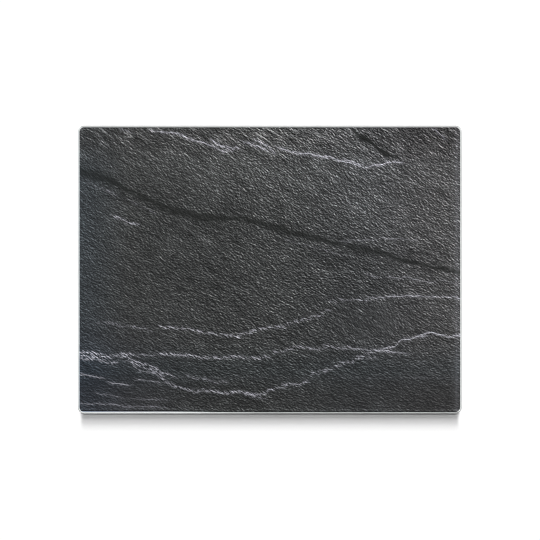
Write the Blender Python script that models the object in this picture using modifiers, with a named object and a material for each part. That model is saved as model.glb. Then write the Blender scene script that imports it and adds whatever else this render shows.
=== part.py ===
"""A rectangular glass cutting board: a toughened glass pane with a slate decor on its underside,
a backing that protects the decor, and four stick-on feet.

Units are metres, +Z is up, and the board's length runs along X. The origin is on the worktop,
under the middle of the board. Nothing on the board moves: every piece is bonded to the one above it.
"""

import math

import bpy
from mathutils import Vector

# Glass pane
BOARD_LENGTH = 0.400
BOARD_WIDTH = 0.300
GLASS_THICKNESS = 0.004
CORNER_RADIUS = 0.007
EDGE_RADIUS = 0.0015  # the ground rounding along the rim, on the top and the underside

# Decor and backing, under the glass
DECOR_INSET = 0.0  # how far the decor stops short of the rim's rounding
DECOR_MARGIN = EDGE_RADIUS + DECOR_INSET  # clear rim of glass outside the decor
DECOR_THICKNESS = 0.0002
BACKING_STEP = 0.0006  # how far the backing stops short of the decor's edge
BACKING_THICKNESS = 0.0002

# Feet: moulded bumpers, each on its own adhesive disc
FOOT_DIAMETER = 0.0127
FOOT_HEIGHT = 0.0035
FOOT_TREAD_DIAMETER = 0.0084  # the flat that stands on the worktop
FOOT_LAND = 0.0006  # straight side above the rounded shoulder
FOOT_INSET = 0.025  # from the board's edges to a foot's centre
ADHESIVE_STEP = 0.0005  # how far the adhesive stops short of the foot's edge
ADHESIVE_THICKNESS = 0.00025

BOND_GAP = 0.00005  # between two bonded faces

# Fineness of the rounded shapes
CORNER_STEPS = 8
EDGE_RINGS = 3
ROUND_SIDES = 48
SHOULDER_STEPS = 6

# Heights of the stack, from the worktop up
ADHESIVE_BOTTOM = FOOT_HEIGHT + BOND_GAP
BACKING_BOTTOM = ADHESIVE_BOTTOM + ADHESIVE_THICKNESS + BOND_GAP
DECOR_BOTTOM = BACKING_BOTTOM + BACKING_THICKNESS + BOND_GAP
GLASS_BOTTOM = DECOR_BOTTOM + DECOR_THICKNESS + BOND_GAP

ARC_HANDLE = 4 / 3 * math.tan(math.pi / 8)  # Bezier handle of a quarter circle, as a share of its radius
AXIS_MERGE = 0.00001


def clear_scene():
    for obj in list(bpy.data.objects):
        bpy.data.objects.remove(obj, do_unlink=True)


def new_collection(name):
    collection = bpy.data.collections.new(name)
    bpy.context.scene.collection.children.link(collection)
    return collection


def new_material(name, colour, roughness, transmission=0.0, ior=1.5):
    material = bpy.data.materials.new(name)
    material.use_nodes = True
    shader = material.node_tree.nodes["Principled BSDF"]
    shader.inputs["Base Color"].default_value = (*colour, 1.0)
    shader.inputs["Roughness"].default_value = roughness
    shader.inputs["Metallic"].default_value = 0.0
    shader.inputs["Transmission Weight"].default_value = transmission
    shader.inputs["IOR"].default_value = ior
    material.diffuse_color = (*colour, 1.0)
    return material


def place(obj, collection, parent, material):
    collection.objects.link(obj)
    obj.parent = parent
    obj.data.materials.append(material)
    return obj


def rounded_rectangle(spline, length, width, radius):
    """Gives a Bezier spline the outline of a rectangle with quarter-circle corners, anticlockwise."""
    half_length, half_width = length / 2, width / 2
    corners = [(1, 1), (-1, 1), (-1, -1), (1, -1)]
    # Each corner has two points, and a new spline starts with one.
    spline.bezier_points.add(2 * len(corners) - 1)
    for i, (side_x, side_y) in enumerate(corners):
        centre = Vector((side_x * (half_length - radius), side_y * (half_width - radius), 0))
        start_angle = i * math.pi / 2
        for j in (0, 1):
            angle = start_angle + j * math.pi / 2
            outward = Vector((math.cos(angle), math.sin(angle), 0))
            forward = Vector((-math.sin(angle), math.cos(angle), 0))
            point = spline.bezier_points[2 * i + j]
            point.handle_left_type = "FREE"
            point.handle_right_type = "FREE"
            point.co = centre + outward * radius
            reach = forward * radius * ARC_HANDLE
            point.handle_left = point.co - reach
            point.handle_right = point.co + reach
            if j == 0:
                point.handle_left = point.co
            else:
                point.handle_right = point.co
    spline.use_cyclic_u = True


def slab(name, length, width, thickness, corner_radius, bottom, edge_radius=0.0):
    """A flat plate with round corners, whose underside is at bottom. edge_radius rounds its whole rim."""
    curve = bpy.data.curves.new(name, "CURVE")
    curve.dimensions = "2D"
    curve.fill_mode = "BOTH"
    curve.resolution_u = CORNER_STEPS
    curve.extrude = thickness / 2 - edge_radius
    curve.bevel_depth = edge_radius
    curve.bevel_resolution = EDGE_RINGS
    spline = curve.splines.new("BEZIER")
    # The rim bulges out of the outline by its own radius, so the outline is drawn that much smaller.
    rounded_rectangle(
        spline,
        length - 2 * edge_radius,
        width - 2 * edge_radius,
        corner_radius - edge_radius,
    )
    obj = bpy.data.objects.new(name, curve)
    obj.location = (0, 0, bottom + thickness / 2)
    return obj


def foot_profile():
    """A bumper's outline from its top centre, down its side and shoulder, to the middle of its tread."""
    radius = FOOT_DIAMETER / 2
    tread = FOOT_TREAD_DIAMETER / 2
    shoulder_height = FOOT_HEIGHT - FOOT_LAND
    points = [(0, FOOT_HEIGHT), (radius, FOOT_HEIGHT)]
    for step in range(SHOULDER_STEPS + 1):
        angle = step / SHOULDER_STEPS * math.pi / 2
        x = tread + (radius - tread) * math.cos(angle)
        z = shoulder_height * (1 - math.sin(angle))
        points.append((x, z))
    points.append((0, 0))
    return [Vector((x, 0, z)) for x, z in points]


def turned(name, profile):
    """A profile in the XZ plane, turned about Z."""
    mesh = bpy.data.meshes.new(name)
    edges = [(i, i + 1) for i in range(len(profile) - 1)]
    mesh.from_pydata(profile, edges, [])
    obj = bpy.data.objects.new(name, mesh)
    screw = obj.modifiers.new("Screw", "SCREW")
    screw.axis = "Z"
    screw.steps = ROUND_SIDES
    screw.render_steps = ROUND_SIDES
    screw.use_merge_vertices = True
    screw.merge_threshold = AXIS_MERGE
    screw.use_smooth_shade = True
    return obj


def disc(name, diameter, thickness, centre):
    """A flat round plate about its centre."""
    bpy.ops.mesh.primitive_cylinder_add(
        vertices=ROUND_SIDES,
        radius=diameter / 2,
        depth=thickness,
        location=centre,
    )
    obj = bpy.context.object
    obj.name = name
    obj.data.name = name
    for collection in list(obj.users_collection):
        collection.objects.unlink(obj)
    return obj


def foot_places():
    """Where the feet stand, with the corner that each one is named for."""
    x = BOARD_LENGTH / 2 - FOOT_INSET
    y = BOARD_WIDTH / 2 - FOOT_INSET
    return {
        "front_left": (-x, -y),
        "front_right": (x, -y),
        "rear_left": (-x, y),
        "rear_right": (x, y),
    }


def build_pane(collection, board):
    glass = new_material("toughened_glass", (0.86, 0.94, 0.91), 0.02, transmission=1.0, ior=1.52)
    pane = slab(
        "glass_pane",
        BOARD_LENGTH,
        BOARD_WIDTH,
        GLASS_THICKNESS,
        CORNER_RADIUS,
        GLASS_BOTTOM,
        edge_radius=EDGE_RADIUS,
    )
    place(pane, collection, board, glass)


def build_decor(collection, board):
    slate = new_material("slate_print", (0.062, 0.064, 0.066), 0.6)
    length = BOARD_LENGTH - 2 * DECOR_MARGIN
    width = BOARD_WIDTH - 2 * DECOR_MARGIN
    radius = CORNER_RADIUS - DECOR_MARGIN
    decor = slab("slate_decor", length, width, DECOR_THICKNESS, radius, DECOR_BOTTOM)
    place(decor, collection, board, slate)

    lacquer = new_material("white_lacquer", (0.8, 0.81, 0.8), 0.5)
    backing = slab(
        "backing_coat",
        length - 2 * BACKING_STEP,
        width - 2 * BACKING_STEP,
        BACKING_THICKNESS,
        radius - BACKING_STEP,
        BACKING_BOTTOM,
    )
    place(backing, collection, board, lacquer)


def build_feet(collection, board):
    silicone = new_material("clear_silicone", (0.82, 0.84, 0.84), 0.35, transmission=0.6, ior=1.41)
    acrylic = new_material("acrylic_adhesive", (0.78, 0.78, 0.74), 0.4, transmission=0.4, ior=1.47)
    profile = foot_profile()
    for corner, (x, y) in foot_places().items():
        foot = turned(f"foot_{corner}", profile)
        foot.location = (x, y, 0)
        place(foot, collection, board, silicone)

        adhesive = disc(
            f"foot_adhesive_{corner}",
            FOOT_DIAMETER - 2 * ADHESIVE_STEP,
            ADHESIVE_THICKNESS,
            (x, y, ADHESIVE_BOTTOM + ADHESIVE_THICKNESS / 2),
        )
        place(adhesive, collection, board, acrylic)


def main():
    clear_scene()
    collection = new_collection("glass_cutting_board")
    board = bpy.data.objects.new("board", None)
    collection.objects.link(board)
    build_pane(collection, board)
    build_decor(collection, board)
    build_feet(collection, board)


main()
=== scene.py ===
"""Looks of the glass cutting board: the pane, the slate decor under it, its backing and the feet.

Units are metres in the CAD frame, +Z up. The decor's picture is drawn in millimetres from the
middle of the board, X to the right and Y to the rear edge.
"""

import math

import bmesh
import bpy
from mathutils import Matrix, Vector


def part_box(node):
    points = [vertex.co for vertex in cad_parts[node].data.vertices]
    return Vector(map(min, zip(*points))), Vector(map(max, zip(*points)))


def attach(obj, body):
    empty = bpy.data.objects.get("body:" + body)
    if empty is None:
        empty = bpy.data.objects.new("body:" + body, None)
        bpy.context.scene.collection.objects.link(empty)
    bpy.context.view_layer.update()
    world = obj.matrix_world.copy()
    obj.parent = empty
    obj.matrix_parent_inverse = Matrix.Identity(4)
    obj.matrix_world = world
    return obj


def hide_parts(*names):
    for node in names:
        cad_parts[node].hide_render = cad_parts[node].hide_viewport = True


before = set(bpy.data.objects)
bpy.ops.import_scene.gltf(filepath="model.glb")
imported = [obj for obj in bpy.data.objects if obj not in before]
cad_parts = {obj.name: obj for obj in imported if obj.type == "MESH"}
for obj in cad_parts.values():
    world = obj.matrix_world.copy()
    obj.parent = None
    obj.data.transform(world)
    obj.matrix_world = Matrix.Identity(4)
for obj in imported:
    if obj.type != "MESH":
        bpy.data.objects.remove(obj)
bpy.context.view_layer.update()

MM = 0.001
BODY = "root"
FOOT_CORNERS = ("front_left", "front_right", "rear_left", "rear_right")

# Rounding that the CAD boxes don't give
CORNER_RADIUS = 7.0 * MM
EDGE_RADIUS = 1.5 * MM
FILM_EDGE_RADIUS = 0.05 * MM
FOOT_TREAD_DIAMETER = 8.4 * MM
FOOT_LAND = 0.6 * MM
BOND_DEPTH = 0.02 * MM  # how far the decor is let into the glass, so that no air lies between them

# Fineness of the meshes
CORNER_STEPS = 20
EDGE_STEPS = 10
ROUND_SIDES = 96
SHOULDER_STEPS = 14

# The decor's UV map, in shares of its height
TOP_STRIP = (0.04, 0.96)  # start and height of the upper face
UNDER_STRIP = (0.0, 0.03)  # the same for the underside and edges
UPWARD = 0.9  # least upward part of the normal of a face in the top strip

# The photograph's view: straight down on the face
FRAME_PIXELS = 540
BOARD_PIXELS = 384.0
BOARD_CENTRE_ACROSS_PIXELS = 269.8
BOARD_CENTRE_DOWN_PIXELS = 269.6
LENS = 85.0
SENSOR = 36.0

# Studio: panels behind the board, each as its lowest and highest angle in degrees, seen from the board,
# and the light that it throws on a flat surface, where 1 shows a colour as it is written
PANELS = {
    "low_panel": (20, 34, 0.34),
    "middle_panel": (33, 56, 0.37),
    "high_panel": (69, 77, 0.225),
}
PANEL_SPREAD = 14  # degrees from side to side
PANEL_DISTANCE = 60.0
FILL_LEVEL = 0.13  # light from all round, on the same scale
OVERHEAD_FADE = (0.35, 0.9)  # upward part of the directions between which the surround is seen to darken
OVERHEAD_LOSS = 0.88
FLOOR_SIZE = 12.0
FLOOR_COLOUR = (0.97, 0.97, 0.97, 1)
FLOOR_GLOW = 0.03  # added where the floor is seen, so that it shows white

# Finishes, whose pairs are a value and how far the marks carry it from there
GLASS_IOR = 1.52
GLASS_COLOUR = (0.97, 1.0, 0.985, 1)
SMEAR_ROUGHNESS = 0.012
RIM_TONE = (0.73, 0.05)
# Painted shade that darkens the rim at the rear and at the front right, and a painted highlight that
# lightens its front at the left
RIM_PAINTED_LIGHT_AND_SHADE = {"rim_rear": -0.37, "rim_front": 0.11, "rim_front_right": -0.36}
RIM_TINT = (0.975, 1.0, 0.995)
RIM_ROUGHNESS = (0.45, 0.1)
RIM_CLEAR = 0.15  # share of light that passes in, as for the feet and the adhesive
LACQUER_TONE = (0.78, 0.05)
LACQUER_TINT = (1.0, 1.005, 0.99)
LACQUER_ROUGHNESS = (0.45, 0.08)
PEEL_TONE = 0.02
PEEL_STRENGTH = 0.15
PEEL_HEIGHT = 0.1 * MM
SILICONE_IOR = 1.41
SILICONE_TONE = (0.84, 0.04)
SILICONE_TINT = (0.98, 1.0, 1.0)
SILICONE_ROUGHNESS = (0.32, 0.08)
SILICONE_CLEAR = 0.55
ACRYLIC_IOR = 1.47
ACRYLIC_TONE = (0.74, 0.12)
ACRYLIC_TINT = (1.0, 0.995, 0.95)
ACRYLIC_ROUGHNESS = (0.3, 0.2)
ACRYLIC_CLEAR = 0.4

# Noise, each kind as the length and width of its features in millimetres, its detail and its seed
MARKS = {
    "warp": (60, 60, 0, 1),
    "stroke": (2.8, 1.4, 0, 2),
    "band": (16, 2.6, 0, 3),
    "cloud": (60, 35, 2, 4),
    "ragged": (6, 1.4, 1, 5),
    "scratch": (13, 1.3, 0, 6),
    "hatch": (4, 1.2, 0, 7),
    "speckle": (1.2, 1.2, 0, 8),
    "broad": (45, 9, 0, 9),
    "streak": (16, 2.0, 0, 10),
    "wobble": (7, 40, 1, 11),
    "flow": (9, 40, 0, 12),
    "sway": (14, 4, 0, 13),
    "layer": (55, 3, 0, 14),
    "smear": (40, 25, 3, 1),
    "grinding": (3, 0.12, 1, 1),
    "peel": (0.9, 0.9, 2, 1),
    "thin_place": (30, 30, 3, 2),
    "haze": (2.5, 2.5, 2, 1),
    "satin": (0.5, 0.5, 1, 2),
    "bubble": (0.4, 0.4, 1, 1),
}
# Kinds that lie on a clear ground, each with the levels of noise over which its marks come in
MARK_LEVELS = {
    "scratch": (0.25, 0.5),
    "hatch": (0.0, 0.3),
    "streak": (0.05, 0.5),
    "flow": (-0.5, 0.2),
    "smear": (-0.3, 0.6),
    "bubble": (0.3, 0.5),
}
SEED_DISTANCE = 7.3  # between the layers of noise that two seeds read
CELL_SHIFT = (31, 17)  # between the patterns of cells that two seeds read
CELL_RANDOMNESS = 0.9
CELL_EDGE = (0.0, 0.25)  # distances from a cell's edge over which it fades, in cells

# Patches of the board in millimetres. Along an axis a patch fades in from one place to another, or lies
# about a middle with a reach.
PATCHES = {
    "rear": [("y", "fade", 105, 140)],
    "rear_middle": [("x", "about", 30, 70), ("y", "fade", 105, 140)],
    "rear_right_corner": [("x", "fade", 110, 160), ("y", "fade", 115, 140)],
    "left": [("x", "fade", -120, -200), ("y", "fade", -80, 60)],
    "right": [("x", "fade", 60, 220), ("y", "fade", -150, -20)],
    "front": [("y", "fade", -70, -130)],
    "front_right": [("x", "fade", 0, 120), ("y", "fade", -70, -130)],
    "front_left_edge": [("x", "fade", -50, -110), ("y", "fade", -100, -140)],
    "centre": [("x", "about", 20, 65), ("y", "about", 15, 50)],
    "steep": [("x", "about", 105, 45), ("y", "about", -55, 22)],  # smoother, and scratched more steeply
    "veil": [("y", "about", 77, 22)],
    "ledges": [("x", "fade", 20, 80)],
    "layers": [("x", "fade", 10, 50), ("y", "about", 5, 18)],
    "verge": [("x", "fade", 186, 196)],
    "verge_line": [("x", "about", 194.6, 1.3)],
    "rear_hairline": [("y", "fade", 147.9, 148.3)],
    "left_hairline": [("x", "fade", -198, -198.3)],
    "front_hairline": [("x", "fade", -50, -110), ("y", "fade", -147.6, -148.1)],
    "steady_crease": [("x", "fade", 80, 150)],
    "deep_crease": [("x", "fade", 100, 150)],
    "rough": [("x", "fade", -200, 20)],
    "smooth_end": [("x", "fade", 100, 200)],
    "deep_valleys": [("x", "fade", -120, 0), ("y", "fade", 105, 140)],
    "calm_front_right": [("x", "fade", -60, 120), ("y", "fade", -70, -130)],
    "calm_front_left": [("x", "about", -150, 50), ("y", "fade", -70, -130)],
    "crisp_rear": [("y", "fade", 90, 110)],
    "crisp_rear_right": [("x", "fade", -40, 10), ("y", "fade", 90, 110)],
    "crisp_right": [("x", "fade", 95, 130)],
    "crisp_front_left": [("x", "fade", -100, -130), ("y", "fade", -104, -109)],
    "dense_left": [("x", "fade", -140, -170), ("y", "about", -90, 8)],
    "warm_right": [("x", "fade", 90, 170)],
    "blue_right": [("x", "about", 110, 75)],
    "blue_left": [("x", "fade", -140, -205)],
    "blue_rear_left": [("x", "fade", -140, -205), ("y", "fade", 90, 145)],
    "blue_front_left": [("x", "fade", -40, -200), ("y", "fade", -30, -120)],
    "blue_belt": [("y", "about", -104, 17)],
    "blue_belt_left": [("x", "fade", -40, -200), ("y", "about", -104, 17)],
    # Patches of the rim that carry its painted shade and painted highlight
    "rim_rear": [("y", "fade", 147, 149)],
    "rim_front": [("y", "fade", -147, -148.5)],
    "rim_front_right": [("x", "fade", -95, 5), ("y", "fade", -147, -148.5)],
    "rim_lit": [("y", "fade", -148.5, -148)],
}

# Board and decor
_, board_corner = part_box("glass_pane")
HALF_LENGTH_MM = board_corner.x / MM
HALF_WIDTH_MM = board_corner.y / MM
DECOR_MARGIN_MM = EDGE_RADIUS / MM  # the decor ends where the rim's rounding starts
DECOR_ROUGHNESS = 0.7

# Colour: grey levels, and shares of red, green and blue
STONE_LEVEL = 59  # sRGB grey level, as for the veins
VEIN_LEVEL = 205
STONE_TINT = (0.98, 1.0, 1.01)
VEIN_TINT = (0.97, 0.95, 1.08)
RED_CHANGES = {
    "warm_right": 0.035,
    "rear": 0.02,
    "blue_left": -0.1,
    "blue_rear_left": 0.07,
    "blue_belt": -0.06,
    "blue_belt_left": -0.03,
}
BLUE_CHANGES = {
    "blue_right": 0.035,
    "blue_left": 0.12,
    "blue_rear_left": -0.084,
    "blue_front_left": 0.12,
    "blue_belt": 0.03,
    "blue_belt_left": 0.015,
    "verge": 0.0224,
    "verge_line": 0.028,
}
CREASE_GREEN = 0.06

# Tone, as a multiple of the stone's level
TONE_CHANGES = {
    "left": 0.2,
    "front": -0.2,
    "front_right": 0.06,
    "rear_right_corner": -0.25,
    "centre": 0.1,
}
ABOVE_CREASE_MM = (-5, 75)  # heights over which the stone above the long crease grows lighter
ABOVE_TONE = 0.75
ABOVE_TONE_CHANGES = {"rear": -0.4, "rear_middle": 0.75}
RIGHT_TONE = 0.65
LEDGE_TONE = 0.15
LAYER_TONE = 0.525
VEIL_TONE = 0.15
CLOUD_TONE = 0.12
STREAK_TONE = (-0.2, 1.5)  # between the streaks at the rear, and added in them
BRIGHTEST_GRAIN = 13.0
EDGE_LIGHT = {
    "verge": 0.42,
    "verge_line": 0.525,
    "rear_hairline": 6,
    "left_hairline": 7,
    "front_hairline": 9,
}

# Pale ledges and a pale veil, which cross the grain at the right
LEDGE_LINES = ((0.08, 20), (-0.035, 0))  # rise to the right, and height in the middle in millimetres
LEDGE_REACH_MM = 4
VEIL_FALL = 1.12
VEIL_HEIGHT_MM = 164.5  # in the middle of the board
VEIL_REACH_MM = 7.5

# Lines along the decor's front and rear edges, in millimetres in from the edge
PALE_LINE_MM = (2.4, 0.9)  # middle and reach
PALE_LINE_TONE = (0.3, -0.001)  # in the middle of the board, and added for each millimetre to the rear
DARK_LINE_MM = (0.6, 1.8)  # where its fading starts and ends
DARK_LINE_DEPTH = 0.35
DARK_LINE_CHANGES = {"front_left_edge": 0.2}
EDGE_SKEW_MM = 0.9  # how much further in the lines lie at the front left

# Slopes of the grain, which falls to the right
REAR_SLOPE = math.radians(35)
FRONT_SLOPE = math.radians(23)
STEEP_SLOPE = math.radians(45)
FLAKE_SPREAD = math.radians(10)
SLOPE_CHANGE_MM = (-150, 110)  # from the flattest grain at the front to the steepest at the rear
SLOPE_CHANGE_TILT = 0.12  # how much higher that change lies for each millimetre to the right
FALL = 0.55  # fall of the bands in the middle of the board
FALL_CHANGE_PER_MM = 0.0012  # added towards the rear
WARP_MM = 2.5

# Relief of the grain
FLAKE_CELLS = (22, 16, 2)  # length and height in millimetres, and the seed
FLAKE_OFFSETS_MM = (900, 700)  # how far apart two flakes read their strokes, along and across
STROKE_SHADE_MM = 0.4
STROKE_DEPTH = 1.3
BAND_DEPTH = 0.4
BROAD_DEPTH = 0.18
SPECKLE_DEPTH = 0.6
SCRATCH_DEPTH = (0.1, 0.5)  # all over, and added in the steep patch and the veil
VALLEY_SHARE = 0.75  # depth of the valleys beside the height of the ridges

# How strongly the relief shows
CONTRAST = 1.15
CONTRAST_CHANGES = {"rough": 0.5, "smooth_end": -0.12, "rear": 0.05}
CALM_CHANGES = {"front": -0.12, "calm_front_right": -0.25, "calm_front_left": -0.2}
STEEP_CALM = 0.36
CREASE_CALM = 1.1
VALLEY_LEVELS = (0.0, 0.6)  # depths between which a valley at the rear is made deeper
VALLEY_GAIN = 0.35

# Veins in millimetres, each as (x, y, strength) along its route
VEINS = {
    "rear_left": [(-158, 148, 0.0), (-153, 146, 0.3), (-145, 143, 0.3), (-139, 141, 0.0)],
    "rear": [
        (-132, 146, 0.0), (-124, 145, 0.5), (-108, 143, 0.7), (-98, 142, 0.9), (-82, 136, 1.0),
        (-68, 132, 1.0), (-56, 127, 0.7), (-49, 123, 0.7), (-40, 125, 0.6), (-33, 126, 0.0),
    ],
    "rear_strand": [
        (-66, 136, 0.0), (-59, 134, 1.0), (-53, 130, 1.1), (-43, 127, 1.2), (-34, 127, 1.0),
        (-28, 127, 0.0),
    ],
    "rear_middle": [(-32, 135, 0.0), (-27, 133, 0.8), (-13, 128.5, 1.2), (-3, 124, 1.0), (2, 121, 0.0)],
    "rear_drop": [(-20, 137, 0.0), (-15, 135, 0.7), (-4, 129.5, 0.9), (4, 123, 1.0), (7, 120, 0.0)],
    "rear_right": [
        (4, 128, 0.0), (9, 126.8, 1.1), (16, 124.5, 1.3), (26, 121.6, 1.3), (36, 121, 1.3),
        (44, 120, 1.1), (50, 118.3, 1.2), (62, 117.3, 1.0), (68, 115, 0.9), (73, 113, 1.1),
        (80, 112, 0.9), (88, 110, 0.9), (94, 108, 0.8), (101, 106, 0.8), (108, 108.7, 0.8),
        (118, 109.7, 1.0), (123, 112, 0.9), (131, 112.3, 1.3), (137, 111.8, 0.9), (145, 109, 0.0),
    ],
    "rear_right_strand": [
        (68, 114, 0.0), (76, 114, 0.4), (84, 113, 0.7), (92, 110, 0.5), (98, 109, 0.0),
    ],
    "fleck": [
        (-168, 57, 0.0), (-163, 56, 0.9), (-156, 53.5, 1.2), (-150, 50, 1.2), (-144, 48.5, 1.1),
        (-138, 48, 0.6), (-135, 47, 0.0),
    ],
    "middle_left": [
        (-186, -55, 0.0), (-176, -56, 0.2), (-166, -56, 0.35), (-154, -58, 0.35), (-142, -60, 0.4),
        (-129, -62, 0.4), (-119, -65, 0.0),
    ],
    "middle": [
        (-118, -58, 0.0), (-114, -59, 0.5), (-104, -61, 0.7), (-90, -61, 0.9), (-72, -65, 0.8),
        (-55, -67, 0.6), (-38, -69, 0.9), (-30, -68, 0.4), (-22, -65, 0.9), (-5, -61, 0.9),
        (12, -59, 0.7), (24, -55, 0.7), (36, -52, 0.5), (52, -47, 0.7), (58, -44.5, 0.6),
        (63, -42, 0.3), (64, -42, 0.0),
    ],
    "middle_right": [
        (59, -33, 0.0), (64, -33, 0.35), (75, -32, 0.4), (89, -32.5, 0.4), (96, -31, 0.9),
        (101, -32, 0.5), (105, -29.8, 0.5), (113, -29.3, 0.6), (124, -28.5, 0.4), (133, -27.5, 0.85),
        (140, -27.5, 0.45), (150, -27.5, 0.6), (160, -28, 0.5), (171, -28.5, 0.4), (184, -28.5, 0.55),
        (190, -28, 0.9), (199, -30.5, 0.8),
    ],
    "main_edge": [
        (-199, -86, 0.9), (-190, -86.5, 0.9), (-180, -87.5, 0.8), (-173, -89, 0.5), (-170, -90, 0.0),
    ],
    "main": [
        (-199, -90, 1.1), (-184, -90.5, 1.0), (-172, -91, 0.8), (-160, -89.5, 0.5), (-153, -87.5, 0.9),
        (-147, -87.5, 0.9), (-139, -90, 0.6), (-127, -89, 0.6), (-118, -88, 0.7), (-106, -88, 0.9),
        (-92, -89, 0.8), (-78, -90, 0.8), (-68, -92, 0.8), (-62, -91, 0.6), (-52, -92.5, 0.9),
        (-43, -91, 0.6), (-30, -91, 0.6), (-19, -93, 0.9), (-9, -91, 0.8), (-3, -91, 0.6),
        (0, -90, 0.1),
    ],
    "main_strand": [
        (-199, -93, 0.7), (-182, -94, 0.7), (-167, -97, 0.8), (-159, -96, 0.6), (-154, -95, 0.0),
    ],
    "main_right": [
        (2, -86.5, 0.5), (8, -86, 0.7), (15, -85.5, 0.6), (20, -82, 0.6), (32, -81, 0.6),
        (43, -82.5, 0.7), (53, -81.5, 0.6), (61, -80, 0.9), (68, -81, 0.6), (80, -81.5, 0.7),
        (98, -83.5, 0.6), (113, -84.5, 0.9), (124, -85.5, 0.9), (132, -86.5, 0.5), (150, -88, 0.0),
    ],
    "falling": [
        (-158, -91, 0.0), (-151, -90.5, 0.9), (-143, -94.5, 0.9), (-132, -98.5, 0.9), (-121, -102, 0.9),
        (-112, -107, 0.9), (-103, -110.5, 0.7), (-96, -113, 0.0),
    ],
    "falling_strand": [
        (-155, -92, 0.0), (-150, -94, 0.7), (-141, -98.5, 0.8), (-131, -102.5, 0.7),
        (-121, -105.5, 0.8), (-112, -110, 0.6), (-104, -112, 0.0),
    ],
    "climbing": [
        (-142, -101, 0.0), (-136, -105, 0.5), (-121, -108, 0.5), (-111, -114, 0.7), (-104, -119.5, 0.8),
        (-90, -124, 1.0), (-78, -127, 0.7), (-70, -126, 0.9), (-56, -127, 0.9), (-42, -129, 1.0),
        (-34, -127, 0.9), (-20, -130, 1.0), (-8, -129, 0.6), (0, -126, 0.9), (8, -123, 0.5),
        (20, -120, 1.0), (30, -120, 0.8), (38, -116, 0.6), (46, -109, 0.7), (56, -106, 0.8),
        (66, -102, 0.6), (76, -98, 0.9), (86, -96, 0.6), (96, -90, 0.9), (108, -86, 0.7),
        (122, -82, 0.9), (132, -79, 0.8), (135, -74, 0.8), (148, -72, 1.0), (156, -69, 0.8),
        (166, -66, 1.0), (178, -68, 1.0), (188, -70, 0.7), (199, -67, 0.9),
    ],
    "climbing_strand": [
        (-26, -130, 0.0), (-18, -132, 0.6), (-6, -134, 0.5), (0, -135, 0.0), (96, -93, 0.0),
        (104, -92, 0.5), (114, -90, 0.0), (149, -71, 0.0), (157, -70, 0.8), (168, -69, 0.0),
        (190, -70, 0.0), (199, -69, 0.9),
    ],
    "low": [
        (-199, -109.5, 0.6), (-188, -110.5, 0.6), (-177, -112.5, 0.45), (-173, -113.2, 0.3),
        (-170.5, -116, 0.05), (-168, -117.8, 0.3), (-157, -119.2, 0.6), (-148, -120.4, 0.4),
        (-145, -120.2, 0.08), (-140, -116, 0.08), (-134, -115, 0.35), (-127, -115.7, 0.28),
        (-118, -117.2, 0.3), (-108, -117, 0.0), (-90, -108, 0.0), (-86, -110, 0.4), (-80, -113, 0.5),
        (-68, -114, 0.4), (-58, -117, 0.35), (-48, -117, 0.3), (-36, -118, 0.0),
    ],
    "faint": [
        (-184, -128, 0.0), (-176, -129.5, 0.15), (-158, -133, 0.15), (-145, -134, 0.05),
        (-132, -135.5, 0.2), (-110, -135.5, 0.2), (-102, -136, 0.0),
    ],
    "front": [
        (-199, -139, 0.35), (-192, -139.6, 0.25), (-186, -140.3, 0.28), (-183, -139.6, 0.15),
        (-177, -139.6, 0.36), (-170, -140.6, 0.2), (-164, -140.6, 0.4), (-158, -141.6, 0.25),
        (-152, -142.3, 0.38), (-145, -143.2, 0.2), (-141, -142.4, 0.15), (-133, -143.2, 0.22),
        (-125, -143, 0.3), (-117, -143.1, 0.26), (-108, -143.5, 0.16), (-100, -144, 0.0),
    ],
    "crease_ledge": [
        (-194, 92, 0.0), (-188, 90, 0.25), (-180, 86, 0.1), (-171, 83, 0.4), (-161, 78.5, 0.3),
        (-154, 75, 0.0), (-146, 72, 0.1), (-140, 69, 0.3), (-130, 64, 0.25), (-120, 60, 0.15),
        (-108, 57, 0.0), (10, 33, 0.0), (24, 29, 0.2), (36, 26, 0.2), (50, 22, 0.1), (66, 18, 0.2),
        (78, 15, 0.0),
    ],
    "ledge_rear": [
        (70, 27, 0.0), (77, 28, 0.2), (88, 30.5, 0.3), (100, 31, 0.3), (109, 31, 0.15), (118, 33, 0.25),
        (127, 32, 0.3), (137, 32, 0.3), (143, 31, 0.1), (150, 31, 0.2), (158, 31, 0.0),
    ],
    "ledge_front": [
        (96, -4, 0.0), (104, -6.5, 0.3), (114, -8, 0.2), (120, -7.5, 0.05), (127, -8, 0.35),
        (134, -9.5, 0.25), (142, -8, 0.3), (152, -10.5, 0.25), (162, -12, 0.35), (170, -13.5, 0.3),
        (175, -11, 0.05), (180, -11, 0.3), (190, -14, 0.25), (197, -15, 0.0),
    ],
    "corner": [(166, 148, 0.0), (170, 147, 0.4), (176, 142.5, 0.6), (183, 136, 0.25), (187, 132, 0.0)],
}
# Routes that follow each other along the board and share one curve
VEIN_LINES = [
    ("rear_left", "rear", "rear_middle", "rear_right", "corner"),
    ("main_edge", "fleck", "rear_strand", "rear_drop", "rear_right_strand"),
    ("middle_left", "middle"),
    ("main", "main_right"),
    ("main_strand", "falling_strand", "climbing_strand"),
    ("falling",),
    ("climbing",),
    ("low", "middle_right"),
    ("faint", "ledge_rear"),
    ("crease_ledge",),
    ("front", "ledge_front"),
]
VEIN_WIDTH_MM = 0.4  # reach to each side of the route, as for the hatches
HATCHED_WIDTH_MM = 1.8
STRONGEST_VEIN = 1.5
MOST_VEIN = 0.85  # share of vein colour where veins meet
VEIN_RAGGED_MM = 0.7
VEIN_WOBBLE_MM = 1.2
VEIN_RELIEF = 0.4  # how strongly the grain shows in the veins

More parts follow.
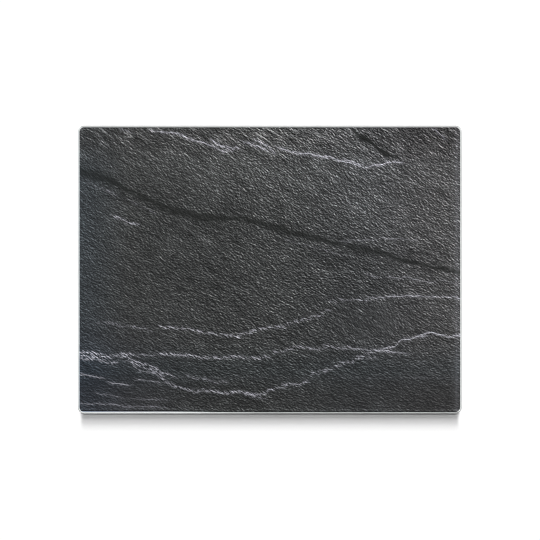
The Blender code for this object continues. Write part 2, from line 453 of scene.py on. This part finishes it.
# Strokes, hatches and thin lines along the veins, whose pairs are a value and what is added to it
VEIN_CELLS = (9, 7, 1)  # length and height of a stroke's cell in millimetres, and the seed
STROKE_WEIGHT = 1.2
STROKE_SCATTER_MM = 1.0
STROKE_FOLLOWS = 0.4  # how far a stroke follows its route
STROKE_FALL = (0.1, 0.35)  # by chance
STROKE_LEVEL = (0.4, 0.8)  # by chance
STROKE_END = (0.35, 0.65)  # inside its cell
STROKE_HATCHED = (0.7, 0.5)  # in hatches
HATCH_WEIGHT = 0.45
HATCH_CHANGES = {"dense_left": 0.8, "rear": 0.5}
LINE_FLOW = (0.4, 0.6)  # by the flow along the line
CRISP_REAR = {"crisp_rear": 0.4, "crisp_rear_right": 0.6}
CRISP_STROKE_LOSS = 0.6
CRISP_HATCH_LOSS = 0.3

# Smooth dark creases in millimetres, each as (x, y, half thickness) along its route
CREASES = {
    "long": [
        (-199, 103, 3.8), (-185, 98.5, 4.2), (-172, 95, 4.8), (-160, 90, 3.8), (-148, 83.5, 2.5),
        (-138, 78, 1.9), (-128, 73, 2.0), (-115, 67, 2.9), (-94, 60, 3.7), (-78, 56, 3.9),
        (-65, 54, 3.9), (-50, 53, 3.4), (-38, 53.5, 2.4), (-30, 53.5, 2.0), (-20, 51, 2.2),
        (-10, 47.5, 2.8), (0, 45, 3.2), (8, 43, 3.4), (18, 40, 3.3), (30, 37, 3.2), (52, 31.5, 2.8),
        (74, 26.5, 2.7), (98, 21.5, 2.8), (118, 16.5, 2.8), (138, 9.8, 2.0), (160, 4.7, 1.8),
        (180, 0.6, 1.7), (199, -4, 1.6),
    ],
    "short": [
        (84, 149, 0.9), (90, 143, 1.8), (95, 138, 2.8), (100, 135.5, 3.0), (105, 133, 2.4),
        (108.5, 129.8, 1.8), (112, 126.3, 2.2), (116, 123.8, 2.7), (121, 120.8, 2.7), (125, 118.8, 2.1),
        (129, 117.6, 1.5), (134, 115.5, 0.8), (141, 112.5, 0.0),
    ],
}
THICKEST_CREASE_MM = 5.0
THINNEST_CREASE_MM = 0.05
FULL_CREASE_MM = (0.2, 1.8)  # half thicknesses between which a crease reaches its full depth
CREASE_SOFTNESS = {"long": 0.55, "short": 0.35}
CREASE_DEPTH = {"long": 0.45, "short": 0.66}
CREASE_DEPTH_CHANGES = {"long": {"deep_crease": 0.1}, "short": {}}
CREASE_SWAY_MM = (2.0, 2.5)  # from the ragged marks and from the sway
STEADY_SHARE = 0.35  # of the sway that the creases lose at the right


class Field:
    """A number that varies over a surface: a shader node's output. Arithmetic on it adds Math nodes."""

    def __init__(self, tree, socket):
        self.tree = tree
        self.socket = socket

    def math(self, operation, *others):
        node = self.tree.nodes.new("ShaderNodeMath")
        node.operation = operation
        for socket, value in zip(node.inputs, (self, *others)):
            feed(self.tree, socket, value)
        return Field(self.tree, node.outputs[0])

    def __add__(self, other):
        return self.math("ADD", other)

    def __mul__(self, other):
        return self.math("MULTIPLY", other)

    def __sub__(self, other):
        return self.math("SUBTRACT", other)

    def __rsub__(self, other):
        return (self * -1) + other

    def __truediv__(self, other):
        return self.math("DIVIDE", other)

    def vary(self, base, change):
        """base where this is 0, and change added for each unit of it."""
        return self * change + base

    def squash(self, most):
        """The same near 0, and never past most on either side."""
        return (self / most).math("TANH") * most

    def exp(self):
        return self.math("EXPONENT")

    def size(self):
        return self.math("ABSOLUTE")

    def at_least(self, other):
        return self.math("MAXIMUM", other)

    def at_most(self, other):
        return self.math("MINIMUM", other)

    def step(self, start, end):
        """0 before start and 1 past end, with a smooth change between them. The end may be the lower."""
        node = self.tree.nodes.new("ShaderNodeMapRange")
        node.interpolation_type = "SMOOTHSTEP"
        for name, value in (("Value", self), ("From Min", start), ("From Max", end)):
            feed(self.tree, node.inputs[name], value)
        return Field(self.tree, node.outputs["Result"])

    def bump(self, middle, reach):
        """1 at middle, falling away to nothing over about twice the reach."""
        offset = (self - middle) / reach
        return (offset * offset * -1).exp()


def feed(tree, socket, value):
    """Links a field to a socket, or sets a plain value on it."""
    if isinstance(value, Field):
        tree.links.new(value.socket, socket)
    else:
        socket.default_value = value


def add_node(tree, kind, inputs=(), **settings):
    node = tree.nodes.new(kind)
    for name, value in settings.items():
        setattr(node, name, value)
    for name, value in dict(inputs).items():
        feed(tree, node.inputs[name], value)
    return node


def new_material(name):
    """An empty node material and its output node."""
    material = bpy.data.materials.new(name)
    material.use_nodes = True
    material.node_tree.nodes.clear()
    return material, add_node(material.node_tree, "ShaderNodeOutputMaterial")


def place_mm(tree):
    """The place on the board as three fields in millimetres."""
    coordinates = add_node(tree, "ShaderNodeTexCoord")
    parts = add_node(tree, "ShaderNodeSeparateXYZ")
    tree.links.new(coordinates.outputs["Object"], parts.inputs[0])
    return [Field(tree, output) * (1 / MM) for output in parts.outputs]


def patch(x, y, name):
    """1 inside a patch and 0 outside it."""
    places = {"x": x, "y": y}
    total = 1.0
    for axis, shape, first, second in PATCHES[name]:
        place = places[axis]
        share = place.step(first, second) if shape == "fade" else place.bump(first, second)
        total = share * total
    return total


def changed(x, y, base, changes):
    """base with the change that each patch brings."""
    total = base
    for name, change in changes.items():
        total = patch(x, y, name) * change + total
    return total


def slanted(x, y, slope):
    """The place along and across lines that fall to the right at a slope."""
    along = x * math.cos(slope) - y * math.sin(slope)
    across = x * math.sin(slope) + y * math.cos(slope)
    return along, across


def marks(kind, along, across):
    """Noise about 0 over a plane, of one of the kinds in MARKS."""
    tree = along.tree
    length, width, detail, seed = MARKS[kind]
    inputs = {"X": along / length, "Y": across / width, "Z": seed * SEED_DISTANCE}
    place = add_node(tree, "ShaderNodeCombineXYZ", inputs)
    node = add_node(tree, "ShaderNodeTexNoise", {"Scale": 1.0, "Detail": detail}, normalize=False)
    tree.links.new(place.outputs[0], node.inputs["Vector"])
    return Field(tree, node.outputs[0])


def clear_marks(kind, along, across):
    """1 inside marks of one of the kinds in MARK_LEVELS, and 0 between them."""
    return marks(kind, along, across).step(*MARK_LEVELS[kind])


def read_curve(x, points, low, high, handle="AUTO"):
    """A value read off a curve through points of (x, value), with x in millimetres along the board."""
    tree = x.tree
    share = x * (0.5 / HALF_LENGTH_MM) + 0.5
    node = add_node(tree, "ShaderNodeFloatCurve", {"Value": share})
    curve = node.mapping.curves[0]
    while len(curve.points) < len(points):
        curve.points.new(0.5, 0.5)
    for point, (place, value) in zip(curve.points, points):
        point.location = (place * 0.5 / HALF_LENGTH_MM + 0.5, (value - low) / (high - low))
        point.handle_type = handle
    node.mapping.extend = "HORIZONTAL"
    node.mapping.update()
    return Field(tree, node.outputs[0]) * (high - low) + low


def route_middle(x, route):
    return read_curve(x, [(px, py) for px, py, _ in route], -HALF_WIDTH_MM, HALF_WIDTH_MM)


def route_share(x, route, most):
    return read_curve(x, [(px, share) for px, _, share in route], 0.0, most, handle="AUTO_CLAMPED")


def crease_share(x, y, name):
    """1 inside a crease and 0 outside it."""
    route = CREASES[name]
    softness = CREASE_SOFTNESS[name]
    half_thickness = route_share(x, route, THICKEST_CREASE_MM) + THINNEST_CREASE_MM
    offset = (y - route_middle(x, route)).size() / half_thickness
    inside = 1 - offset.step(1 - softness, 1 + softness)
    return inside * half_thickness.step(*FULL_CREASE_MM)


def cell_pattern(x, y, kind, feature="F1"):
    """A pattern of ragged cells, whose kind is their length and height in millimetres and a seed."""
    tree = x.tree
    length, height, seed = kind
    inputs = {"X": x / length + seed * CELL_SHIFT[0], "Y": y / height + seed * CELL_SHIFT[1]}
    place = add_node(tree, "ShaderNodeCombineXYZ", inputs)
    node = add_node(
        tree,
        "ShaderNodeTexVoronoi",
        {"Scale": 1.0, "Randomness": CELL_RANDOMNESS},
        voronoi_dimensions="2D",
        feature=feature,
    )
    tree.links.new(place.outputs[0], node.inputs["Vector"])
    return node


def cells(x, y, kind):
    """The X and Y of the middle of the cell at a place, and two random numbers for it."""
    tree = x.tree
    length, height, seed = kind
    pattern = cell_pattern(x, y, kind)
    middle = add_node(tree, "ShaderNodeSeparateXYZ")
    chance = add_node(tree, "ShaderNodeSeparateColor")
    tree.links.new(pattern.outputs["Position"], middle.inputs[0])
    tree.links.new(pattern.outputs["Color"], chance.inputs[0])
    middle_x = (Field(tree, middle.outputs["X"]) - seed * CELL_SHIFT[0]) * length
    middle_y = (Field(tree, middle.outputs["Y"]) - seed * CELL_SHIFT[1]) * height
    return middle_x, middle_y, Field(tree, chance.outputs["Red"]), Field(tree, chance.outputs["Green"])


def cell_edge(x, y, kind):
    """0 at the edges of the same cells, rising to 1 well inside them."""
    pattern = cell_pattern(x, y, kind, feature="DISTANCE_TO_EDGE")
    return Field(x.tree, pattern.outputs["Distance"]).step(*CELL_EDGE)


def veil(x, y):
    """1 in a pale band at the rear right that falls more steeply than the grain."""
    return (y + x * VEIL_FALL).bump(VEIL_HEIGHT_MM, VEIL_REACH_MM) * patch(x, y, "veil")


def scratches(x, y):
    """Long thin pale lines that fall to the right at the steep slope."""
    along, across = slanted(x, y, STEEP_SLOPE)
    return clear_marks("scratch", along, across)


def bands(x, y):
    """Long marks that fall to the right, more steeply at the rear than at the front."""
    slope = math.atan(FALL)
    fall = y * FALL_CHANGE_PER_MM + FALL
    # The same all along a line that falls at each place by the fall there
    line = x + fall.math("LOGARITHM", math.e) / FALL_CHANGE_PER_MM
    along = x * math.cos(slope) - y * math.sin(slope)
    return marks("band", along, line * math.sin(slope))


def grain(x, y):
    """The relief of split stone: short strokes that fall to the right, steep at the rear and flatter at
    the front, in flakes of unlike direction."""
    middle_x, middle_y, first, second = cells(x, y, FLAKE_CELLS)
    flat = 1 - (middle_y - middle_x * SLOPE_CHANGE_TILT).step(*SLOPE_CHANGE_MM)
    slope = (first - 0.5) * FLAKE_SPREAD + REAR_SLOPE - flat * (REAR_SLOPE - FRONT_SLOPE)
    slope = slope + patch(middle_x, middle_y, "steep") * (STEEP_SLOPE - FRONT_SLOPE)
    run = x - middle_x
    rise = y - middle_y
    offset_along, offset_across = FLAKE_OFFSETS_MM
    along = run * slope.math("COSINE") - rise * slope.math("SINE") + first * offset_along
    across = run * slope.math("SINE") + rise * slope.math("COSINE") + second * offset_across
    lit = marks("stroke", along, across + STROKE_SHADE_MM)
    shaded = marks("stroke", along, across - STROKE_SHADE_MM)
    relief = (lit - shaded) * STROKE_DEPTH + bands(x, y) * BAND_DEPTH
    relief = relief + marks("speckle", x, y) * SPECKLE_DEPTH
    return relief.at_least(relief * VALLEY_SHARE)


def drawn_veins(x, y, width):
    """The share of vein colour, where x picks the place along each route and y is beside it."""
    total = 0.0
    for names in VEIN_LINES:
        line = [point for name in names for point in VEINS[name]]
        total = route_share(x, line, STRONGEST_VEIN) * y.bump(route_middle(x, line), width) + total
    return total


def vein_strokes(x, y):
    """The veins as strokes, each of which falls a little to the right of its route."""
    middle_x, _, first, second = cells(x, y, VEIN_CELLS)
    offset = x - middle_x
    shift = (first - 0.5) * STROKE_SCATTER_MM - offset * second.vary(*STROKE_FALL)
    level = cell_edge(x, y, VEIN_CELLS).vary(*STROKE_END) * second.vary(*STROKE_LEVEL)
    return drawn_veins(middle_x + offset * STROKE_FOLLOWS, y - shift, VEIN_WIDTH_MM) * level


def linear(level):
    """The linear value of an sRGB grey level from 0 to 255."""
    share = level / 255
    if share <= 0.04045:
        return share / 12.92
    return ((share + 0.055) / 1.055) ** 2.4


def colour_of(red, green, blue):
    node = add_node(red.tree, "ShaderNodeCombineColor", {"Red": red, "Green": green, "Blue": blue})
    return Field(red.tree, node.outputs[0])


def tinted(tone, tint):
    """A tone as a colour, with tint as its shares of red, green and blue."""
    return colour_of(*[tone * share for share in tint])


def principled(tree, output, inputs):
    shader = add_node(tree, "ShaderNodeBsdfPrincipled", inputs)
    tree.links.new(shader.outputs[0], output.inputs["Surface"])
    return shader


def slate_creases(x, y, along, across, ragged):
    """The share of light that the creases take from the stone."""
    ragged_sway, long_sway = CREASE_SWAY_MM
    sway = ragged * ragged_sway + marks("sway", along, across) * long_sway
    swayed_y = y + sway * (1 - patch(x, y, "steady_crease") * STEADY_SHARE)
    total = 0.0
    for name in CREASES:
        depth = changed(x, y, CREASE_DEPTH[name], CREASE_DEPTH_CHANGES[name])
        total = crease_share(x, swayed_y, name) * depth + total
    return total


def slate_tone(x, y):
    """The stone's tone: lighter above the long crease, most of all in the middle of the rear edge."""
    above = (y - route_middle(x, CREASES["long"])).step(*ABOVE_CREASE_MM)
    upper, lower = [y.bump(x * rise + height, LEDGE_REACH_MM) for rise, height in LEDGE_LINES]
    ledges = patch(x, y, "ledges") * (upper + lower)
    layers = patch(x, y, "layers") * marks("layer", x, y)
    tone = changed(x, y, 1.0, TONE_CHANGES)
    tone = above * changed(x, y, ABOVE_TONE, ABOVE_TONE_CHANGES) + tone
    tone = (1 - above) * patch(x, y, "right") * RIGHT_TONE + tone
    tone = ledges * LEDGE_TONE + layers * LAYER_TONE + veil(x, y) * VEIL_TONE + tone
    return marks("cloud", x, y) * CLOUD_TONE + tone


def edge_lines(x, y):
    """What the front and rear edges make of the tone: a dark line at the edge, and a pale one by it."""
    skew = patch(x, y, "front_left_edge") * EDGE_SKEW_MM
    inset = HALF_WIDTH_MM - DECOR_MARGIN_MM - y.size() - skew
    dark = changed(x, y, DARK_LINE_DEPTH, DARK_LINE_CHANGES)
    pale_line = inset.bump(*PALE_LINE_MM) * y.vary(*PALE_LINE_TONE)
    return pale_line + inset.step(*DARK_LINE_MM) * dark + 1 - dark


def slate_relief(x, y, along, across):
    """Grain, long marks in its direction, and scratches that are deeper in two places."""
    scratched = (patch(x, y, "steep") + veil(x, y)).vary(*SCRATCH_DEPTH)
    return grain(x, y) + marks("broad", along, across) * BROAD_DEPTH + scratches(x, y) * scratched


def slate_contrast(x, y, relief, crease):
    """How strongly the relief shows: less in the creases, at the left, along the front and in the steep
    patch, and more in the valleys at the rear."""
    valley = (relief * -1).step(*VALLEY_LEVELS) * patch(x, y, "deep_valleys")
    contrast = changed(x, y, CONTRAST, CONTRAST_CHANGES) * changed(x, y, 1.0, CALM_CHANGES)
    contrast = contrast * (1 - patch(x, y, "steep") * STEEP_CALM) * (1 - crease * CREASE_CALM)
    return contrast * (valley * VALLEY_GAIN + 1)


def slate_stone(x, y, along, across, relief, crease):
    """The stone's brightness without its veins, with a paler verge at the right and pale hairlines where
    the print stops short: along the rear and left edges, and at the left of the front edge."""
    tone = slate_tone(x, y) * (1 - crease) * edge_lines(x, y)
    streaks = patch(x, y, "rear") * clear_marks("streak", along, across).vary(*STREAK_TONE) + 1
    grains = (relief * slate_contrast(x, y, relief, crease)).exp()
    stone = (tone * grains * streaks).at_most(BRIGHTEST_GRAIN)
    return changed(x, y, stone, EDGE_LIGHT) * linear(STONE_LEVEL)


def slate_veins(x, y, along, across, ragged, relief):
    """The veins' brightness: strokes and hatches along each route, and a thin line in crisp places."""
    crisp = changed(x, y, 0.0, CRISP_REAR)
    crisp = crisp.at_least(patch(x, y, "crisp_right")).at_least(patch(x, y, "crisp_front_left"))
    hatch = clear_marks("hatch", along, across)
    ragged_y = y + ragged * VEIN_RAGGED_MM
    wobbly_y = y + marks("wobble", x, y) * VEIN_WOBBLE_MM
    strokes = vein_strokes(x, ragged_y) * hatch.vary(*STROKE_HATCHED) * (1 - crisp * CRISP_STROKE_LOSS)
    hatches = drawn_veins(x, ragged_y, HATCHED_WIDTH_MM) * hatch * (1 - crisp * CRISP_HATCH_LOSS)
    hatches = hatches * changed(x, y, 1.0, HATCH_CHANGES)
    line = drawn_veins(x, wobbly_y, VEIN_WIDTH_MM) * crisp * clear_marks("flow", x, y).vary(*LINE_FLOW)
    drawn = (strokes * STROKE_WEIGHT + line + hatches * HATCH_WEIGHT).squash(MOST_VEIN)
    return drawn * (relief * VEIN_RELIEF).exp() * linear(VEIN_LEVEL)


def slate_colour(x, y, stone, vein, crease):
    """Stone and veins in colour: bluer at the left edge, in the left front corner, in a belt along the
    front veins and right of the middle, warmer at the right end, greener in the creases and lavender in
    the veins."""
    red, green, blue = STONE_TINT
    tints = (
        changed(x, y, red, RED_CHANGES),
        crease * CREASE_GREEN + green,
        changed(x, y, blue, BLUE_CHANGES),
    )
    return colour_of(*[stone * tint + vein * share for tint, share in zip(tints, VEIN_TINT)])


def slate_material():
    """The printed picture of split slate: slanting grain in relief, pale veins and dark creases."""
    material, output = new_material("slate_print")
    tree = material.node_tree
    x, y, _ = place_mm(tree)
    along, across = slanted(x, y, REAR_SLOPE)
    across = across + marks("warp", x, y) * WARP_MM
    ragged = marks("ragged", along, across)
    crease = slate_creases(x, y, along, across, ragged)
    relief = slate_relief(x, y, along, across)
    stone = slate_stone(x, y, along, across, relief, crease)
    vein = slate_veins(x, y, along, across, ragged, relief)
    colour = slate_colour(x, y, stone, vein, crease)
    inputs = {"Base Color": colour, "Roughness": DECOR_ROUGHNESS, "Specular IOR Level": 0.0}
    principled(tree, output, inputs)
    return material


def glass_shader(tree, output, inputs, passed):
    """Glass that lets lamp light straight through in the share passed."""
    shader = add_node(tree, "ShaderNodeBsdfPrincipled", {"IOR": GLASS_IOR, **inputs})
    clear = add_node(tree, "ShaderNodeBsdfTransparent", {"Color": passed})
    light_path = add_node(tree, "ShaderNodeLightPath")
    mix = add_node(tree, "ShaderNodeMixShader")
    tree.links.new(light_path.outputs["Is Shadow Ray"], mix.inputs[0])
    tree.links.new(shader.outputs[0], mix.inputs[1])
    tree.links.new(clear.outputs[0], mix.inputs[2])
    tree.links.new(mix.outputs[0], output.inputs["Surface"])


def glass_material():
    """Clear soda-lime glass, with the faint smears of a wiped face."""
    material, output = new_material("toughened_glass")
    tree = material.node_tree
    x, y, _ = place_mm(tree)
    roughness = clear_marks("smear", x, y) * SMEAR_ROUGHNESS
    inputs = {"Base Color": GLASS_COLOUR, "Roughness": roughness, "Transmission Weight": 1.0}
    glass_shader(tree, output, inputs, (1, 1, 1, 1))
    return material


def ground_rim_material():
    """The rim, ground to a pale satin with fine marks along it, with painted shade that darkens it at
    the rear and at the front right, and a painted highlight that lightens its front at the left.
    Lamp light passes in at its rear and sides, and not at the front."""
    material, output = new_material("ground_glass_rim")
    tree = material.node_tree
    x, y, z = place_mm(tree)
    ground = marks("grinding", x + y, z)
    # The rim's own ground tone, with painted shade at the rear and front right and a painted highlight
    # at the front left
    tone = changed(x, y, ground.vary(*RIM_TONE), RIM_PAINTED_LIGHT_AND_SHADE)
    lit = patch(x, y, "rim_lit")
    inputs = {
        "Base Color": tinted(tone, RIM_TINT),
        "Roughness": ground.vary(*RIM_ROUGHNESS),
        "Transmission Weight": RIM_CLEAR,
    }
    glass_shader(tree, output, inputs, colour_of(lit, lit, lit))
    return material


def backing_material():
    """White lacquer over the decor, with the faint orange peel and thin places of a screened coat."""
    material, output = new_material("white_lacquer")
    tree = material.node_tree
    x, y, _ = place_mm(tree)
    peel = marks("peel", x, y)
    tone = marks("thin_place", x, y).vary(*LACQUER_TONE) + peel * PEEL_TONE
    inputs = {"Base Color": tinted(tone, LACQUER_TINT), "Roughness": peel.vary(*LACQUER_ROUGHNESS)}
    shader = principled(tree, output, inputs)
    inputs = {"Strength": PEEL_STRENGTH, "Distance": PEEL_HEIGHT, "Height": peel}
    bump = add_node(tree, "ShaderNodeBump", inputs)
    tree.links.new(bump.outputs[0], shader.inputs["Normal"])
    return material


def silicone_material():
    """Milky clear silicone, slightly cloudy inside and satin outside."""
    material, output = new_material("clear_silicone")
    tree = material.node_tree
    x, y, _ = place_mm(tree)
    tone = marks("haze", x, y).vary(*SILICONE_TONE)
    inputs = {
        "Base Color": tinted(tone, SILICONE_TINT),
        "Roughness": marks("satin", x, y).vary(*SILICONE_ROUGHNESS),
        "IOR": SILICONE_IOR,
        "Transmission Weight": SILICONE_CLEAR,
    }
    principled(tree, output, inputs)
    return material


def adhesive_material():
    """A clear acrylic adhesive film with fine trapped bubbles."""
    material, output = new_material("acrylic_adhesive")
    tree = material.node_tree
    x, y, _ = place_mm(tree)
    bubbles = clear_marks("bubble", x, y)
    tone = bubbles.vary(*ACRYLIC_TONE)
    inputs = {
        "Base Color": tinted(tone, ACRYLIC_TINT),
        "Roughness": bubbles.vary(*ACRYLIC_ROUGHNESS),
        "IOR": ACRYLIC_IOR,
        "Transmission Weight": ACRYLIC_CLEAR,
    }
    principled(tree, output, inputs)
    return material


def outline(length, width, radius):
    """A rectangle with round corners, anticlockwise, as (point, outward direction)."""
    found = []
    corners = [(1, 1), (-1, 1), (-1, -1), (1, -1)]
    for i, (side_x, side_y) in enumerate(corners):
        centre = Vector((side_x * (length / 2 - radius), side_y * (width / 2 - radius), 0))
        for step in range(CORNER_STEPS + 1):
            angle = (i + step / CORNER_STEPS) * math.pi / 2
            outward = Vector((math.cos(angle), math.sin(angle), 0))
            found.append((centre + outward * radius, outward))
    return found


def skinned(name, rings, normals):
    """A closed mesh through rings of points, capped at both ends, with the normals given for each point.
    The two caps are its last faces."""
    mesh = bpy.data.meshes.new(name)
    build = bmesh.new()
    rows = [[build.verts.new(point) for point in ring] for ring in rings]
    count = len(rows[0])
    for lower, upper in zip(rows, rows[1:]):
        for i in range(count):
            j = (i + 1) % count
            build.faces.new((lower[i], lower[j], upper[j], upper[i]))
    build.faces.new(rows[0][::-1])
    build.faces.new(rows[-1])
    build.to_mesh(mesh)
    build.free()
    mesh.shade_smooth()
    mesh.normals_split_custom_set_from_vertices([normal for row in normals for normal in row])
    obj = bpy.data.objects.new(name, mesh)
    bpy.context.scene.collection.objects.link(obj)
    return obj


def rounded_slab(name, low, high, corner_radius, edge_radius):
    """A plate that fills a box, with round corners and a rounded rim."""
    size = high - low
    centre = (high + low) / 2
    path = outline(size.x - 2 * edge_radius, size.y - 2 * edge_radius, corner_radius - edge_radius)
    rings = []
    normals = []
    for end, start_angle in ((low.z + edge_radius, -math.pi / 2), (high.z - edge_radius, 0.0)):
        for step in range(EDGE_STEPS + 1):
            angle = start_angle + step / EDGE_STEPS * math.pi / 2
            reach = edge_radius * math.cos(angle)
            height = end + edge_radius * math.sin(angle)
            middle = Vector((centre.x, centre.y, height))
            rings.append([middle + point + outward * reach for point, outward in path])
            up = Vector((0, 0, math.sin(angle)))
            normals.append([outward * math.cos(angle) + up for _, outward in path])
    return skinned(name, rings, normals)


def add_top_map(obj, name="OFBake"):
    """Adds a UV map that the upper face fills, above a thin strip for the underside and edges."""
    layer = obj.data.uv_layers.new(name=name)
    low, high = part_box("slate_decor")
    for face in obj.data.polygons:
        bottom, height = TOP_STRIP if face.normal.z > UPWARD else UNDER_STRIP
        for index in face.loop_indices:
            point = obj.data.vertices[obj.data.loops[index].vertex_index].co
            across = (point.x - low.x) / (high.x - low.x)
            up = (point.y - low.y) / (high.y - low.y)
            layer.data[index].uv = (across, bottom + height * up)


def turned(name, centre, profile):
    """A solid turned about an upright line through centre, from (radius, height, normal) points."""
    rings = []
    normals = []
    for radius, height, (out, up) in profile:
        ring = []
        row = []
        for i in range(ROUND_SIDES):
            angle = i / ROUND_SIDES * 2 * math.pi
            outward = Vector((math.cos(angle), math.sin(angle), 0))
            ring.append(centre + outward * radius + Vector((0, 0, height)))
            row.append(outward * out + Vector((0, 0, up)))
        rings.append(ring)
        normals.append(row)
    return skinned(name, rings, normals)


def finish_piece(obj, node, material):
    obj.data.materials.append(material)
    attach(obj, BODY)
    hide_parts(node)


def build_pane():
    low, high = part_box("glass_pane")
    pane = rounded_slab("pane", low, high, CORNER_RADIUS, EDGE_RADIUS)
    finish_piece(pane, "glass_pane", glass_material())
    pane.data.materials.append(ground_rim_material())
    # Every face but the two caps is rim.
    for face in pane.data.polygons[:-2]:
        face.material_index = 1


def build_decor():
    glass_low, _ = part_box("glass_pane")
    low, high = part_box("slate_decor")
    margin = low.x - glass_low.x
    high.z = glass_low.z + BOND_DEPTH
    decor = rounded_slab("decor", low, high, CORNER_RADIUS - margin, FILM_EDGE_RADIUS)
    add_top_map(decor)
    finish_piece(decor, "slate_decor", slate_material())

    low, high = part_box("backing_coat")
    margin = low.x - glass_low.x
    coat = rounded_slab("coat", low, high, CORNER_RADIUS - margin, FILM_EDGE_RADIUS)
    finish_piece(coat, "backing_coat", backing_material())


def foot_outline(low, high):
    """A bumper's side from its tread up: a quarter-ellipse shoulder, then a short straight land."""
    radius = (high.x - low.x) / 2
    tread = FOOT_TREAD_DIAMETER / 2
    rise = high.z - low.z - FOOT_LAND
    points = []
    for step in range(SHOULDER_STEPS + 1):
        angle = step / SHOULDER_STEPS * math.pi / 2
        out = math.sin(angle) / (radius - tread)
        up = -math.cos(angle) / rise
        length = math.hypot(out, up)
        points.append((
            tread + (radius - tread) * math.sin(angle),
            rise * (1 - math.cos(angle)),
            (out / length, up / length),
        ))
    points.append((radius, high.z - low.z, (1, 0)))
    return points


def build_feet():
    silicone = silicone_material()
    acrylic = adhesive_material()
    for corner in FOOT_CORNERS:
        low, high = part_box(f"foot_{corner}")
        base = Vector(((low.x + high.x) / 2, (low.y + high.y) / 2, low.z))
        foot = turned(f"bumper_{corner}", base, foot_outline(low, high))
        finish_piece(foot, f"foot_{corner}", silicone)

        low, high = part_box(f"foot_adhesive_{corner}")
        base.z = low.z
        radius = (high.x - low.x) / 2
        sides = [(radius, 0, (1, 0)), (radius, high.z - low.z, (1, 0))]
        disc = turned(f"adhesive_{corner}", base, sides)
        finish_piece(disc, f"foot_adhesive_{corner}", acrylic)


def seen_share(tree):
    """1 on a ray that sees its target straight, mirrored or through glass, and 0 on other rays."""
    path = add_node(tree, "ShaderNodeLightPath")
    seen = Field(tree, path.outputs["Is Camera Ray"])
    seen = seen.at_least(Field(tree, path.outputs["Is Glossy Ray"]))
    return seen.at_least(Field(tree, path.outputs["Is Transmission Ray"]))


def build_floor():
    bpy.ops.mesh.primitive_plane_add(size=FLOOR_SIZE)
    floor = bpy.context.object
    floor.name = "floor"
    material, output = new_material("white_floor")
    tree = material.node_tree
    diffuse = add_node(tree, "ShaderNodeBsdfDiffuse", {"Color": FLOOR_COLOUR})
    strength = seen_share(tree) * FLOOR_GLOW
    glow = add_node(tree, "ShaderNodeEmission", {"Color": (1, 1, 1, 1), "Strength": strength})
    total = add_node(tree, "ShaderNodeAddShader")
    tree.links.new(diffuse.outputs[0], total.inputs[0])
    tree.links.new(glow.outputs[0], total.inputs[1])
    tree.links.new(total.outputs[0], output.inputs["Surface"])
    floor.data.materials.append(material)


def build_world():
    """A white surround that darkens overhead."""
    world = bpy.data.worlds.new("studio")
    bpy.context.scene.world = world
    world.use_nodes = True
    tree = world.node_tree
    tree.nodes.clear()
    direction = add_node(tree, "ShaderNodeTexCoord")
    parts = add_node(tree, "ShaderNodeSeparateXYZ")
    tree.links.new(direction.outputs["Generated"], parts.inputs[0])
    height = Field(tree, parts.outputs["Z"])
    shown = 1 - height.step(*OVERHEAD_FADE) * OVERHEAD_LOSS
    level = (shown - FILL_LEVEL) * seen_share(tree) + FILL_LEVEL
    background = add_node(tree, "ShaderNodeBackground", {"Color": (1, 1, 1, 1), "Strength": level})
    output = add_node(tree, "ShaderNodeOutputWorld")
    tree.links.new(background.outputs[0], output.inputs[0])


def add_panel(name, lowest, highest, level):
    """A soft panel that faces the middle of the board."""
    middle = math.radians((lowest + highest) / 2)
    data = bpy.data.lights.new(name, "AREA")
    data.shape = "RECTANGLE"
    data.size = 2 * PANEL_DISTANCE * math.tan(math.radians(PANEL_SPREAD / 2))
    data.size_y = 2 * PANEL_DISTANCE * math.tan(math.radians((highest - lowest) / 2))
    data.energy = level * (math.pi * PANEL_DISTANCE) ** 2 / math.sin(middle)
    panel = bpy.data.objects.new(name, data)
    panel.location = (0, PANEL_DISTANCE * math.cos(middle), PANEL_DISTANCE * math.sin(middle))
    panel.rotation_euler = (middle - math.pi / 2, 0, 0)
    bpy.context.scene.collection.objects.link(panel)


def build_lights():
    for name, (lowest, highest, level) in PANELS.items():
        add_panel(name, lowest, highest, level)


def build_camera():
    low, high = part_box("glass_pane")
    data = bpy.data.cameras.new("camera")
    data.lens = LENS
    data.sensor_width = SENSOR
    metres_per_pixel = (high.x - low.x) / BOARD_PIXELS
    distance = FRAME_PIXELS * metres_per_pixel * LENS / SENSOR
    right = (FRAME_PIXELS / 2 - BOARD_CENTRE_ACROSS_PIXELS) * metres_per_pixel
    down = (FRAME_PIXELS / 2 - BOARD_CENTRE_DOWN_PIXELS) * metres_per_pixel
    camera = bpy.data.objects.new("camera", data)
    camera.location = (right, -down, (low.z + high.z) / 2 + distance)
    bpy.context.scene.collection.objects.link(camera)
    bpy.context.scene.camera = camera


build_pane()
build_decor()
build_feet()
build_floor()
build_world()
build_lights()
build_camera()
bpy.context.scene.view_settings.view_transform = "Standard"

# Grain as fine as a pixel stays sharp, and the glass throws no stray specks of light.
bpy.context.scene.cycles.filter_width = 1.0
bpy.context.scene.cycles.denoising_prefilter = "NONE"
bpy.context.scene.cycles.caustics_reflective = False
bpy.context.scene.cycles.caustics_refractive = False
